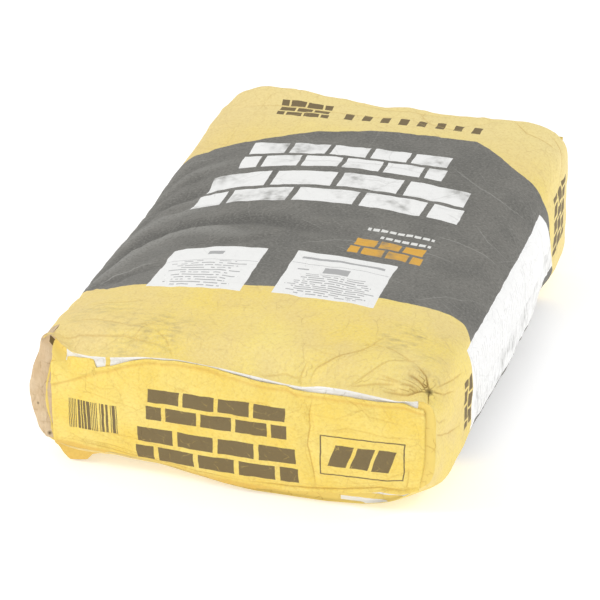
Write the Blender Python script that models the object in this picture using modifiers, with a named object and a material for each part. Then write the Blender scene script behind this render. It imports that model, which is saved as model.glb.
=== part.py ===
"""Filled paper sack of cement, lying flat on its back.

A pasted block-bottom valve sack: a tube of paper plies, folded to a flat face
at each end and closed there by a pasted cover leaf. The valve, a sleeve of
brown kraft paper, shows at one corner of the end that faces -Y. The powder
has slumped away from the sack's left edge, so that edge is low and round.
Metres, +Z up, origin on the floor under the middle of the sack.
"""
import bpy
import bmesh
from mathutils import Vector

# The filled sack
LENGTH = 0.489
LEFT_HALF_WIDTH = 0.183
RIGHT_HALF_WIDTH = 0.174
END_WIDTH = 0.330
MIDDLE_HEIGHT = 0.136
VALVE_END_HEIGHT = 0.118
CLOSED_END_HEIGHT = 0.142
END_CROWN = 0.007          # how far each end face swells past its rim
END_LIFT = 0.005           # how far the rim of the closed end curls up from the floor
FLATTENED = 0.003          # what the weight presses flat on the underside
LEFT_SLUMP = 0.012         # how far the top has sunk along its left edge
SHOULDER_DROP = 0.016      # how far the top rolls down to the fold of the valve end
SHOULDER_START = 0.88      # where that roll begins, as a share of the half length
SHOULDER_SPREAD = 6        # how late the roll dies out towards the two corners

# Lines across the ends: place from the middle of the end, and height
CLOSED_TOP_START = 0.86    # where the closed end's line begins to show, along the half length
VALVE_FOOT = ((-0.165, 0.016), (-0.065, 0.009), (-0.025, 0.002), (0.075, 0.001), (0.165, 0.017))
CLOSED_TOP = ((-0.165, 0.000), (-0.120, 0.006), (-0.085, 0.006), (-0.030, 0.000), (0.165, 0.001))
# The outline of the valve corner: height, and how far the paper is drawn to the right
VALVE_CORNER = ((0.000, 0.009), (0.030, 0.003), (0.068, -0.003), (0.085, 0.000), (0.118, 0.005))
VALVE_CORNER_WIDTH = (0.110, 0.165)    # where that drawing in begins and is full, to the left
VALVE_CORNER_DEPTH = (0.185, 0.235)    # and towards the valve end

# Long folds over the left shoulder: depth, where a ridge is negative, and points (x, y)
# from the side inwards. The cage's rounding takes away about half of each depth.
SHOULDER_FOLDS = (
    (0.0060, ((-0.176, -0.066), (-0.160, -0.034), (-0.146, -0.008), (-0.116, -0.010), (-0.040, -0.015))),
    (-0.0040, ((-0.168, -0.090), (-0.148, -0.045), (-0.128, -0.028), (-0.093, -0.030), (-0.040, -0.052))),
    (0.0040, ((-0.176, -0.116), (-0.150, -0.103), (-0.110, -0.102))),
    (-0.0030, ((-0.172, -0.010), (-0.159, 0.018), (-0.140, 0.028), (-0.105, 0.022))),
    (0.0040, ((-0.178, 0.030), (-0.165, 0.052), (-0.147, 0.066), (-0.120, 0.069))),
    (0.0030, ((-0.176, 0.072), (-0.162, 0.096), (-0.140, 0.102))),
)
FOLD_HALF_WIDTH = 0.016
FOLD_RISE = (0.035, 0.065)             # the folds begin and are full at these heights
FOLD_REACH = (0.020, 0.080)            # and at these distances to the left
FOLD_AXIS = 0.045                      # the folds press in towards this height
LEFT_SWELL = 0.0055                    # how far the filling pushes out between the folds
SWELL_FRONT = (-0.130, -0.060)         # where it begins and is full, from the valve end
SWELL_BACK = (-0.200, -0.120)          # and from the closed end

# A section's corners, from 2, an ellipse, to large values, a rectangle
LEFT_SQUARENESS = 2.13
RIGHT_SQUARENESS = 3.06
UNDERSIDE_SQUARENESS = 4.0
END_SQUARENESS = 9.1

# How the form changes between the middle and the ends
HEIGHT_TAPER = 2.6
WIDTH_TAPER = 2.0
SQUARENESS_TAPER = 3.0
CROWN_TAPER = 10
LIFT_TAPER = 8
SLUMP_TAPER = 4
SLUMP_SPREAD = 1.5

# Pasted paper
PAPER = 0.0010             # a cover leaf with the folded flaps under it
GAP = 0.0003
PATCH_SIDE_MARGIN = 0.009  # from the cover leaf to the corner of its end face
PATCH_EDGE_MARGIN = 0.012  # from the cover leaf to the top and foot of the end
LIP_MARGIN = 0.003         # from the valve end's cover leaf to the fold above it
END_DEPTH = 0.009          # an end face lies this near the end of the sack, or nearer
SLEEVE_WIDTH = 0.013       # what shows of the valve sleeve on the end face
SLEEVE_REACH = 0.026       # how far it runs round the corner
SLEEVE_SLIT = 0.0006       # between the sleeve and the cover leaf

# Rows of the coarse cage, as shares of the half width, half length and half height
ACROSS_ROWS = (0.28, 0.54, 0.78, 0.93)
ALONG_ROWS = (0.05, 0.10, 0.15, 0.20, 0.25, 0.30, 0.35, 0.40, 0.45, 0.50, 0.60, 0.74, 0.87, 0.965)
UPRIGHT_ROWS = (0.42, 0.84)
ROUNDING_LEVELS = 1

# Where handling has drawn the paper in or out: corner, its reach, its shift
CORNER_FORMS = (
    (Vector((0.161, -0.213, 0.109)), 0.034, Vector((-0.009, 0.000, -0.008))),
    (Vector((0.163, -0.240, 0.010)), 0.045, Vector((-0.008, 0.006, 0.006))),
    (Vector((0.163, 0.240, 0.141)), 0.040, Vector((-0.001, -0.003, -0.004))),
    (Vector((-0.163, 0.243, 0.138)), 0.045, Vector((0.006, -0.003, -0.006))),
)

YELLOW_PAPER = (0.91, 0.72, 0.26, 1.0)
KRAFT_PAPER = (0.72, 0.56, 0.38, 1.0)


def clear_scene():
    for item in list(bpy.data.objects):
        bpy.data.objects.remove(item, do_unlink=True)


def paper(name, colour):
    material = bpy.data.materials.new(name)
    material.use_nodes = True
    shader = material.node_tree.nodes["Principled BSDF"]
    shader.inputs["Base Color"].default_value = colour
    shader.inputs["Roughness"].default_value = 0.8
    shader.inputs["Metallic"].default_value = 0.0
    return material


def swept(middle, end, reach, taper):
    """A value that runs from one in the middle to another at the ends."""
    return middle + (end - middle) * reach ** taper


def value_on(line, place):
    """The value of a line of (place, value) points."""
    if place <= line[0][0]:
        return line[0][1]
    for (start, low), (end, high) in zip(line, line[1:]):
        if place <= end:
            return low + (high - low) * (place - start) / (end - start)
    return line[-1][1]


def eased(value, start, end):
    """From 0 at the start to 1 at the end, slow at both."""
    share = min(max((value - start) / (end - start), 0.0), 1.0)
    return share ** 2 * (3 - 2 * share)


def shoulder(across, along):
    """How far the top has rolled down towards the fold of the valve end."""
    return SHOULDER_DROP * eased(-along, SHOULDER_START, 1.0) * (1 - abs(across) ** SHOULDER_SPREAD)


def sack_point(spot):
    """Move a point of the cube from -1 to 1 onto the filled sack."""
    across, along, upright = spot
    reach = abs(along)
    end_height = VALVE_END_HEIGHT if along < 0 else CLOSED_END_HEIGHT
    middle_half = LEFT_HALF_WIDTH if across < 0 else RIGHT_HALF_WIDTH
    middle_squareness = LEFT_SQUARENESS if across < 0 else RIGHT_SQUARENESS
    height = swept(MIDDLE_HEIGHT, end_height, reach, HEIGHT_TAPER)
    half_width = swept(middle_half, END_WIDTH / 2, reach, WIDTH_TAPER)
    squareness = swept(middle_squareness, END_SQUARENESS, reach, SQUARENESS_TAPER)
    if upright < 0:
        squareness = max(squareness, UNDERSIDE_SQUARENESS)
    end_lift = value_on(VALVE_FOOT, across * END_WIDTH / 2) if along < 0 else END_LIFT
    lift = swept(0.0, end_lift, reach, LIFT_TAPER)

    outer = max(abs(across), abs(upright))
    rounding = 1.0
    if outer > 0:
        total = abs(across / outer) ** squareness + abs(upright / outer) ** squareness
        rounding = total ** (-1 / squareness)
    x = across * rounding * half_width
    z = lift - FLATTENED + (height + FLATTENED - lift) * (upright * rounding + 1) / 2
    to_left = max(0.0, -across) ** SLUMP_SPREAD
    z -= max(0.0, upright) * to_left * swept(LEFT_SLUMP, 0.0, reach, SLUMP_TAPER)
    z -= max(0.0, upright) * shoulder(across, along)
    if along > 0:
        z += max(0.0, upright) * value_on(CLOSED_TOP, x) * eased(along, CLOSED_TOP_START, 1.0)
    y = along * (LENGTH / 2 - END_CROWN * outer ** 3 * reach ** CROWN_TAPER)
    return Vector((x, y, max(z, 0.0)))


def distance_to(line, spot):
    """How far a spot lies from a line of points."""
    nearest = []
    for start, end in zip(line, line[1:]):
        start, end = Vector(start), Vector(end)
        way = end - start
        share = min(max((spot - start).dot(way) / way.length_squared, 0.0), 1.0)
        nearest.append((spot - start - way * share).length)
    return min(nearest)


def fold_depth(point):
    """How deep the shoulder's folds are at a point."""
    depth = 0.0
    for deepest, line in SHOULDER_FOLDS:
        depth += deepest * max(0.0, 1 - (distance_to(line, point.xy) / FOLD_HALF_WIDTH) ** 2)
    return depth * eased(point.z, *FOLD_RISE) * eased(-point.x, *FOLD_REACH)


def with_side_forms(point):
    """Swell the left side between its folds, and draw in the paper of the valve corner."""
    moved = point.copy()
    swelling = eased(point.y, *SWELL_FRONT) * eased(-point.y, *SWELL_BACK)
    to_left = min(max(-point.x / LEFT_HALF_WIDTH, 0.0), 1.0) ** 2
    moved.x -= LEFT_SWELL * swelling * to_left
    inwards = Vector((0.0, point.y, FOLD_AXIS)) - point
    moved += inwards.normalized() * fold_depth(point)
    near_valve = eased(-point.x, *VALVE_CORNER_WIDTH) * eased(-point.y, *VALVE_CORNER_DEPTH)
    moved.x += value_on(VALVE_CORNER, point.z) * near_valve
    return moved


def with_corner_forms(point):
    moved = point.copy()
    for corner, reach, shift in CORNER_FORMS:
        share = max(0.0, 1 - ((point - corner).length / reach) ** 2)
        moved += shift * share ** 2
    moved.z = max(moved.z, 0.0)
    return moved


def cut_rows(mesh, axis, rows):
    """Cut the cube across one axis at each row, on both sides of the middle."""
    normal = Vector((axis == 0, axis == 1, axis == 2))
    places = sorted({side * row for row in (0.0,) + rows for side in (-1, 1)})
    for place in places:
        everything = mesh.verts[:] + mesh.edges[:] + mesh.faces[:]
        bmesh.ops.bisect_plane(mesh, geom=everything, plane_co=normal * place, plane_no=normal)


def new_object(name, mesh, material, collection):
    data = bpy.data.meshes.new(name)
    mesh.to_mesh(data)
    mesh.free()
    data.materials.append(material)
    data.shade_smooth()
    item = bpy.data.objects.new(name, data)
    collection.objects.link(item)
    return item


def rounded_copy(sack):
    """The sack's finished surface, from which a pasted sheet takes its form."""
    bpy.context.view_layer.update()
    finished = sack.evaluated_get(bpy.context.evaluated_depsgraph_get())
    mesh = bmesh.new()
    mesh.from_mesh(finished.to_mesh())
    finished.to_mesh_clear()
    mesh.normal_update()
    return mesh


def filled_sack(collection):
    mesh = bmesh.new()
    bmesh.ops.create_cube(mesh, size=2.0)
    for axis, rows in enumerate((ACROSS_ROWS, ALONG_ROWS, UPRIGHT_ROWS)):
        cut_rows(mesh, axis, rows)
    for vert in mesh.verts:
        vert.co = with_corner_forms(with_side_forms(sack_point(vert.co)))
    sack = new_object("filled_sack", mesh, paper("printed_sack_paper", YELLOW_PAPER), collection)
    rounding = sack.modifiers.new("rounding", "SUBSURF")
    rounding.levels = ROUNDING_LEVELS
    rounding.render_levels = ROUNDING_LEVELS
    return sack


def centre_across(sack):
    """Shift the sack until its rounded form lies evenly about the origin, and return the shift."""
    mesh = rounded_copy(sack)
    sides = [vert.co.x for vert in mesh.verts]
    mesh.free()
    middle = (min(sides) + max(sides)) / 2
    for vert in sack.data.vertices:
        vert.co.x -= middle
    return -middle


def trim(mesh, point, outward):
    """Cut away all that lies beyond a plane."""
    everything = mesh.verts[:] + mesh.edges[:] + mesh.faces[:]
    bmesh.ops.bisect_plane(
        mesh, geom=everything, plane_co=point, plane_no=outward, clear_outer=True
    )


def pasted_sheet(name, sack, material, collection, low, high):
    """A sheet of paper on the part of the sack's surface that lies in a box."""
    mesh = rounded_copy(sack)
    for axis in range(3):
        direction = Vector((axis == 0, axis == 1, axis == 2))
        if low[axis] is not None:
            trim(mesh, direction * low[axis], -direction)
        if high[axis] is not None:
            trim(mesh, direction * high[axis], direction)
    mesh.normal_update()
    for vert in mesh.verts:
        vert.co += vert.normal * GAP
    sheet = new_object(name, mesh, material, collection)
    thickness = sheet.modifiers.new("thickness", "SOLIDIFY")
    thickness.thickness = PAPER
    thickness.offset = 1.0
    return sheet


def build():
    clear_scene()
    collection = bpy.data.collections.new("cement_bag")
    bpy.context.scene.collection.children.link(collection)
    sack = filled_sack(collection)

    # The end faces are narrower than the middle and keep to its right
    end_middle = centre_across(sack)
    left_corner = end_middle - END_WIDTH / 2
    right_corner = end_middle + END_WIDTH / 2
    seam = left_corner + SLEEVE_WIDTH
    face_start = LENGTH / 2 - END_DEPTH
    foot = END_LIFT + PATCH_EDGE_MARGIN
    valve_end_top = VALVE_END_HEIGHT - SHOULDER_DROP - LIP_MARGIN
    yellow = paper("printed_leaf_paper", YELLOW_PAPER)
    kraft = paper("kraft_paper", KRAFT_PAPER)
    pasted_sheet(
        "valve_end_patch", sack, yellow, collection,
        (seam, None, foot),
        (right_corner - PATCH_SIDE_MARGIN, -face_start, valve_end_top),
    )
    pasted_sheet(
        "valve_sleeve", sack, kraft, collection,
        (None, None, foot),
        (seam - SLEEVE_SLIT, -LENGTH / 2 + SLEEVE_REACH, valve_end_top),
    )
    pasted_sheet(
        "closed_end_patch", sack, yellow, collection,
        (left_corner + PATCH_SIDE_MARGIN, face_start, foot),
        (right_corner - PATCH_SIDE_MARGIN, None, CLOSED_END_HEIGHT - PATCH_EDGE_MARGIN),
    )


build()
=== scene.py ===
"""The looks of a filled paper sack of cement that lies flat on a pale floor.

The sack is a pasted block-bottom valve sack: a printed paper tube, folded flat at
each end, a cover leaf pasted over the folds of each end, and a sleeve of kraft
paper in the valve corner. Metres throughout, +Z up, the valve end faces -Y.

The tube's print and creases are placed on the flat sheet that the tube was made
from: u runs round the sack from the middle of the top, to the right, and v runs
along it towards the closed end. Marks and creases give u and v in millimetres.
"""
import math
import random

import bmesh
import bpy
import numpy as np
from mathutils import Matrix, Vector, noise


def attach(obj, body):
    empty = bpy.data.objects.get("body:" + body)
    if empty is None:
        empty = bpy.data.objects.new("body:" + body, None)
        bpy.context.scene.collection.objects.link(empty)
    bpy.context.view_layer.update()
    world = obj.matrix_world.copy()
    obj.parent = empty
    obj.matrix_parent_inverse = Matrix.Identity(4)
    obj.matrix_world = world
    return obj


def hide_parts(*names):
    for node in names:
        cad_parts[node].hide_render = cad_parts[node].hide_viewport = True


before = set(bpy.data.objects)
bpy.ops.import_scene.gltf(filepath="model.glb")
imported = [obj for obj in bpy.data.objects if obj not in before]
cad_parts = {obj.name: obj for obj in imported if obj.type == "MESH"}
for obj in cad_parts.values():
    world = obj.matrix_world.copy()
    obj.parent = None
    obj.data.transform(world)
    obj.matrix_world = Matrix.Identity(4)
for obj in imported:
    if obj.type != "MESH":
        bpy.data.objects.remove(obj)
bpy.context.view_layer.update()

MM = 0.001

# The filled form, with the sizes of the solids in the frame
LENGTH = 0.489
LEFT_HALF_WIDTH = 0.183
RIGHT_HALF_WIDTH = 0.174
END_WIDTH = 0.330
MIDDLE_HEIGHT = 0.136
VALVE_END_HEIGHT = 0.118
CLOSED_END_HEIGHT = 0.142
END_CROWN = 0.007
END_LIFT = 0.005
FLATTENED = 0.003
LEFT_SLUMP = 0.012
MIDDLE_X = 0.0076          # the ends' middle in the frame; every piece is shaped round X 0 first
HALF_TUBE = 0.440          # half the way round the paper tube
SHOULDER_START = 0.88      # where the top begins to roll down to the valve end's fold

# A section's corners, from 2, an ellipse, to large values, a rectangle
LEFT_SQUARENESS = 2.13
RIGHT_SQUARENESS = 3.06
UNDERSIDE_SQUARENESS = 4.0
END_SQUARENESS = 9.1

# Cells of the sack's mesh along X, Y and Z, each about 2.5 mm, and of the paper sheets, across and up
CELLS = (144, 196, 40)
VALVE_LEAF_CELLS = (210, 100)
CLOSED_LEAF_CELLS = (160, 60)
SLEEVE_CELLS = (56, 64)

# Lines on the valve end, from left to right: X and height in millimetres
FOLD_LINE = (
    (-176, 128), (-164, 125), (-154, 118), (-147, 110), (-138, 103), (-119, 101), (-104, 102), (-73, 107),
    (-46, 109), (-14, 107), (15, 104), (40, 101), (56, 100), (72, 103), (92, 103), (116, 101), (134, 100),
    (146, 103), (157, 109), (171, 113),
)
# The cover leaf's upper edge, with a tab of it that stands up at the valve
LEAF_TOP = (
    (-152, 92), (-146, 94), (-138, 96), (-119, 99), (-115.5, 98), (-114, 92), (-100, 96), (-84, 102),
    (-72, 105.5), (-46, 107.5), (-20, 107), (-8, 104.5), (6, 102), (23, 99.5), (34, 99), (44, 99.5), (50, 97),
    (62, 96.5), (76, 97.5), (92, 97.5), (112, 96.5), (126, 97), (138, 98), (148, 96), (157, 96),
)
# The rolled lip, which runs on below the tab
LIP_LINE = ((-152, 76), (-146, 78), (-130, 85), (-114, 91.5)) + LEAF_TOP[6:]
# The crease where the end turns in, its foot below that, and the cover leaf's lower edge
FOOT_LINE = ((-154, 24), (-135, 24), (-115, 22), (-86, 18), (-61, 16), (-26, 13), (15, 11), (57, 11),
             (89, 12), (121, 19), (142, 16), (158, 18))
FOOT_EDGE = ((-180, 17), (-145, 14), (-105, 16), (-64, 13), (-29, 7), (-8, 3), (16, 0.6), (76, 0.6),
             (106, 3), (136, 9), (170, 18))
LEAF_FOOT = ((-152, 18), (-147, 9), (-142, 1), (-127, 2.5), (-121, 10), (-104, 17), (-64, 14), (-29, 8.5),
             (-8, 5), (16, 4), (50, 8), (70, 11), (92, 12), (121, 18), (142, 15), (158, 17))
LEAF_LEFT = -151.5
LEAF_RIGHT = 156.5
CLOSED_LEAF_LEFT = -155.5
CLOSED_LEAF_FOOT = 15
CLOSED_LEAF_SIZE = (312, 115)
LEAF_PROUD = 0.9 * MM      # a cover leaf's face stands this far out of the end
LEAF_THICKNESS = 0.5 * MM
SLEEVE_THICKNESS = 0.4 * MM
# The valve corner's outline: height, and how far the paper is drawn to the right
CORNER_OUTLINE = ((0, 9), (12, 7), (20, 3.5), (30, 0.5), (45, -3), (60, -4.5), (70, -4), (85, 0),
                  (100, 5), (125, 5))


def along_line(line, where):
    """The height of a line of (place, height) points at each place, all in metres."""
    places, heights = zip(*line)
    return np.interp(where, np.array(places) * MM, np.array(heights) * MM)


def eased(share):
    """A share from 0 to 1 that starts and ends gently."""
    share = np.clip(share, 0.0, 1.0)
    return share * share * (3 - 2 * share)


def tapered(middle, end, reach, taper):
    """A size that goes from its value at the sack's middle to its value at the ends."""
    return middle + (end - middle) * reach ** taper


def end_crown(across, upright):
    """How far a point of an end face lies behind the face's middle, as a share of the crown."""
    return 1 - (1 - np.abs(across) ** 3) * (1 - np.abs(upright) ** 3)


def foot_recess(x, z):
    """The valve end turns inwards under the fold at its foot, most at the left."""
    slope = 0.45 - 0.40 * eased((x + 0.05) / 0.06)
    return slope * np.clip(along_line(FOOT_LINE, x) - z, 0.0, None)


def under_leaf(x, z):
    """The folded flaps lie a little deeper where the cover leaf is pasted over them."""
    aside = np.minimum(x - LEAF_LEFT * MM + 4 * MM, LEAF_RIGHT * MM - x)
    below = along_line(LEAF_TOP, x) - z
    return 2.6 * MM * eased((aside - 2 * MM) / (5 * MM)) * eased((below - 1 * MM) / (6 * MM))


def corner_draw(x, y, z):
    """How far the paper of the valve corner is drawn to the right."""
    near = eased((-x - 0.110) / 0.055) * eased((-y - 0.185) / 0.050)
    return along_line(CORNER_OUTLINE, z) * near


def fold_recess(x, z):
    """The end lies back a little under the fold of the top, and further in the valve corner."""
    below = along_line(FOLD_LINE, x) - z
    deepest = 2.4 * MM + 3.0 * MM * eased((-x - 0.125) / 0.015)
    return deepest * eased((below - 1 * MM) / (2.5 * MM)) * eased((20 * MM - below) / (12 * MM))


def valve_end_height(x, reach):
    """Height of the top at the valve end, which rolls down to the fold."""
    roll = eased((reach - SHOULDER_START) / (1 - SHOULDER_START))
    plain = tapered(MIDDLE_HEIGHT, VALVE_END_HEIGHT, reach, 2.6)
    return plain + (along_line(FOLD_LINE, x) - VALVE_END_HEIGHT) * roll


def sack_form(across, along, upright):
    """Points of the cube from -1 to 1, moved onto the filled sack."""
    reach = np.abs(along)
    left = across < 0
    half_width = tapered(np.where(left, LEFT_HALF_WIDTH, RIGHT_HALF_WIDTH), END_WIDTH / 2, reach, 2.0)
    squareness = tapered(np.where(left, LEFT_SQUARENESS, RIGHT_SQUARENESS), END_SQUARENESS, reach, 3.0)
    squareness = np.where(upright < 0, np.maximum(squareness, UNDERSIDE_SQUARENESS), squareness)
    outer = np.maximum(np.maximum(np.abs(across), np.abs(upright)), 1e-9)
    total = np.abs(across / outer) ** squareness + np.abs(upright / outer) ** squareness
    rounding = total ** (-1 / squareness)
    x = across * rounding * half_width

    height = np.where(
        along < 0,
        valve_end_height(x, reach),
        tapered(MIDDLE_HEIGHT, CLOSED_END_HEIGHT, reach, 2.6),
    )
    lift = np.where(along < 0, along_line(FOOT_EDGE, x), END_LIFT)
    foot = tapered(-FLATTENED, lift, reach, 8)
    z = foot + (height - foot) * (upright * rounding + 1) / 2
    slump = tapered(LEFT_SLUMP, 0.0, reach, 4)
    z = z - np.clip(upright, 0, 1) * np.clip(-across, 0, 1) ** 1.5 * slump
    crown = end_crown(across * rounding, upright * rounding) * reach ** 10
    y = along * (LENGTH / 2 - END_CROWN * crown)
    return np.stack([x, y, np.maximum(z, 0.0)], -1)


def end_face(x, z, foot, top):
    """How far from the sack's middle an end's face lies, between its foot and its top."""
    across = np.clip(x / (END_WIDTH / 2), -1, 1)
    upright = np.clip(2 * (z - foot) / (top - foot) - 1, -1, 1)
    return LENGTH / 2 - END_CROWN * end_crown(across, upright)


def valve_face(x, z):
    """Y of the valve end's folded face at a place on it."""
    plain = end_face(x, z, along_line(FOOT_EDGE, x), along_line(FOLD_LINE, x))
    return -plain + foot_recess(x, z) + fold_recess(x, z)


# The flat sheet

def ring_place(across, upright):
    """Where a point lies on the way from the top's middle, 0, round to the underside's, 4."""
    over = upright >= np.abs(across)
    under = -upright >= np.abs(across)
    return np.where(over, np.abs(across), np.where(under, 4 - np.abs(across), 2 - upright))


def ring_point(place):
    """Where on the cube's section a place on that way lies."""
    across = np.where(place <= 1, place, np.where(place <= 3, 1, 4 - place))
    upright = np.where(place <= 1, 1, np.where(place <= 3, 2 - place, -1))
    return across, upright


def sheet_places(across, along, upright):
    """u and v of each point of the tube, in metres."""
    places = ring_place(across, upright)
    ring = np.linspace(0, 4, 321)
    ring_across, ring_upright = ring_point(ring)
    u = np.zeros(len(across))
    for row in np.unique(along):
        for side in (-1, 1):
            here = (along == row) & (np.where(across < 0, -1, 1) == side)
            if not here.any():
                continue
            path = sack_form(ring_across * side, np.full(len(ring), row), ring_upright)
            steps = np.hypot(np.diff(path[:, 0]), np.diff(path[:, 2]))
            way = np.concatenate([[0], np.cumsum(steps)])
            u[here] = side * np.interp(places[here], ring, way) * HALF_TUBE / way[-1]
    return u, along * LENGTH / 2


# Creases and bulges

# On the tube: points (u, v), depth, where a ridge is negative, and half width
SHOULDER_FOLDS = (
    (((-182, -80), (-166, -42), (-152, -12), (-130, -4), (-99, -10), (-66, -11), (-39, -15), (-9, -24),
      (30, -22), (60, -30)), 3.3, 16),
    (((-172, -96), (-158, -64), (-146, -38), (-130, -27), (-95, -29), (-59, -46), (-30, -54)), -2.2, 13),
    (((-104, -58), (-82, -62), (-60, -62), (-42, -57), (-24, -46), (-9, -36)), 1.5, 8),
    (((-182, -122), (-160, -108), (-136, -101), (-112, -103), (-96, -106)), 2.3, 13),
    (((-178, -22), (-166, 6), (-154, 22), (-136, 28), (-116, 24), (-96, 18)), -1.7, 11),
    (((-186, 22), (-172, 46), (-160, 60), (-144, 68), (-124, 70), (-104, 68)), 2.2, 12),
    (((-176, 44), (-160, 48), (-140, 54), (-116, 52)), -1.0, 7),
    (((-184, 62), (-172, 82), (-162, 94), (-146, 101), (-122, 103)), 1.7, 10),
    (((-176, 84), (-164, 100), (-148, 112), (-120, 113), (-100, 110)), -1.4, 8),
    (((-176, 102), (-160, 118), (-142, 128), (-118, 132)), 1.1, 8),
)
NAMED_CREASES = (
    # From the fold of the valve end up the top
    (((69, -244), (66, -236), (68, -230), (76, -225), (99, -205), (113, -180)), 2.6, 8),
    (((60, -244), (57, -234), (60, -226)), 1.2, 5),
    (((97, -243), (124, -217), (150, -205)), 1.2, 7),
    (((-51, -243), (-62, -226), (-77, -216)), 0.9, 5),
    (((100, -240), (122, -234), (140, -232)), 1.4, 5),
    (((20, -243), (44, -236), (62, -238)), 0.9, 5),
    (((86, -228), (98, -212), (116, -198)), 0.7, 4),
    # From the pinch in the right corner
    (((143, -224), (156, -224), (171, -225)), 3.4, 5),
    (((146, -214), (160, -217), (172, -225)), 3.2, 5),
    (((96, -196), (122, -200), (148, -214)), 1.2, 6),
    (((186, -170), (180, -196), (173, -220)), 1.6, 6),
    (((128, -238), (150, -237), (171, -226)), 3.4, 6),
    (((171, -226), (174, -232), (176, -242)), 3.6, 5),
    (((172, -225), (184, -214), (190, -196)), 2.0, 7),
    (((120, -228), (142, -231), (160, -230)), -1.4, 5),
    # Down the right side
    (((205, -243), (216, -224), (224, -204), (228, -180)), 2.2, 7),
    (((190, -243), (200, -232), (204, -220)), 1.0, 6),
    (((172, -150), (200, -140), (232, -128), (262, -120)), 1.2, 8),
    (((178, 100), (204, 112), (236, 132), (262, 150)), 1.4, 9),
    (((170, 40), (200, 30), (240, 24), (270, 22)), 0.9, 8),
    (((176, -60), (204, -52), (238, -56)), 0.8, 7),
    # Across the charcoal band
    (((-170, -116), (-157, -99), (-140, -92), (-116, -92)), -1.2, 4),
    (((-176, -70), (-160, -52), (-146, -44)), -0.9, 4),
    (((80, 134), (117, 103), (150, 92), (172, 90)), 0.9, 5),
    (((100, -2), (150, -2), (168, -6)), 0.9, 5),
    (((-10, -62), (30, -40), (84, -33), (140, -40)), 0.8, 6),
    (((-105, 120), (-60, 112), (20, 116), (80, 108)), 0.8, 5),
    (((-60, 62), (0, 56), (70, 64), (118, 60)), 0.6, 5),
    (((118, -120), (140, -96), (160, -88)), 0.7, 5),
    (((128, 40), (146, 20), (170, 14)), 0.7, 5),
    # Near the left corner
    (((-164, -238), (-140, -228), (-100, -226), (-60, -232)), 1.1, 6),
    (((-158, -214), (-128, -208), (-96, -216), (-74, -204)), 1.0, 6),
    (((-150, -176), (-120, -178), (-90, -172)), 0.8, 7),
    (((-96, -240), (-84, -214), (-62, -196)), 0.8, 5),
    # Across the top at the closed end
    (((-150, 214), (-90, 220), (-20, 216), (40, 224)), 0.9, 8),
    (((20, 244), (40, 214), (80, 204)), 1.2, 7),
    (((110, 244), (128, 222), (166, 214)), 1.4, 7),
    (((144, 236), (165, 224), (184, 200), (190, 176)), 1.8, 7),
    (((-40, 240), (10, 234), (60, 238)), 1.0, 5),
)
PINCHES = (
    # Point, reach and shift
    (Vector((0.160, -0.226, 0.111)), 0.030, Vector((-0.010, 0.003, -0.008))),
    (Vector((0.163, 0.240, 0.141)), 0.040, Vector((-0.001, -0.003, -0.004))),
    (Vector((-0.163, 0.243, 0.138)), 0.045, Vector((0.006, -0.003, -0.006))),
    (Vector((0.163, -0.240, 0.010)), 0.045, Vector((-0.008, 0.006, 0.006))),
)
# How far the fold round the closed end's top stands above its plain height: X and rise in millimetres
FAR_RIM = (
    (-174.5, 0), (-154.5, 3), (-121.5, 6), (-84.5, 6), (-64.5, 3), (-44.5, 2.5), (-24.5, 0), (-8.5, -1.5),
    (15.5, 1.2), (45.5, -2), (85.5, 0), (125.5, 2), (165.5, 0),
)

# Small creases at random: seed, count, two corners of the area, and the shortest and longest, in millimetres
SACK_SCATTER = (25, 240, (-290, -244), (290, 244), (14, 60))
VALVE_LEAF_SCATTER = (26, 90, (-152, 8), (157, 100), (10, 45))
CLOSED_LEAF_SCATTER = (27, 90, (-155, 15), (157, 130), (10, 55))

# Size and height of the relief of filled paper, in metres
BULGE_SIZE = 0.085
BULGE_HEIGHT = 0.0016
FACET_SIZE = 0.024
FACET_HEIGHT = 0.0010
CRUMPLE_SIZE = 0.009
CRUMPLE_HEIGHT = 0.00035

# On the valve end's leaf: points (x, z), depth and half width
LEAF_CREASES = (
    (((66, 97), (64, 80), (65, 69), (63, 54), (68, 29), (70, 11)), 1.5, 8),
    (((144, 44), (145, 30), (144, 17)), 0.9, 4),
    (((-150, 24), (-135, 25), (-115, 23), (-86, 18), (-61, 16), (-26, 13), (15, 11)), 1.3, 3),
    (((-134, 28), (-100, 25), (-72, 19), (-40, 18)), 0.8, 3),
    (((6, 11), (28, 12), (57, 13), (89, 16.5), (121, 22.5), (142, 19), (157, 21)), 1.4, 2.5),
    (((-147, 72), (-117, 71), (-92, 66), (-60, 58), (-24, 62)), 0.5, 5),
    (((-64, 92), (-24, 80), (26, 84), (62, 72)), 0.6, 6),
    (((70, 66), (96, 72), (128, 68), (156, 70)), 0.7, 6),
    (((-144, 44), (-124, 38), (-84, 36), (-34, 27)), 0.7, 6),
    (((88, 22), (116, 26), (154, 44)), 0.6, 5),
    (((-132, 84), (-108, 76), (-88, 80)), 0.5, 5),
    (((-104, 92), (-92, 74), (-88, 60)), 0.5, 5),
    (((100, 94), (112, 84), (140, 80)), 0.6, 5),
    (((112, 15), (128, 20), (150, 22)), 0.7, 4),
)


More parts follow.
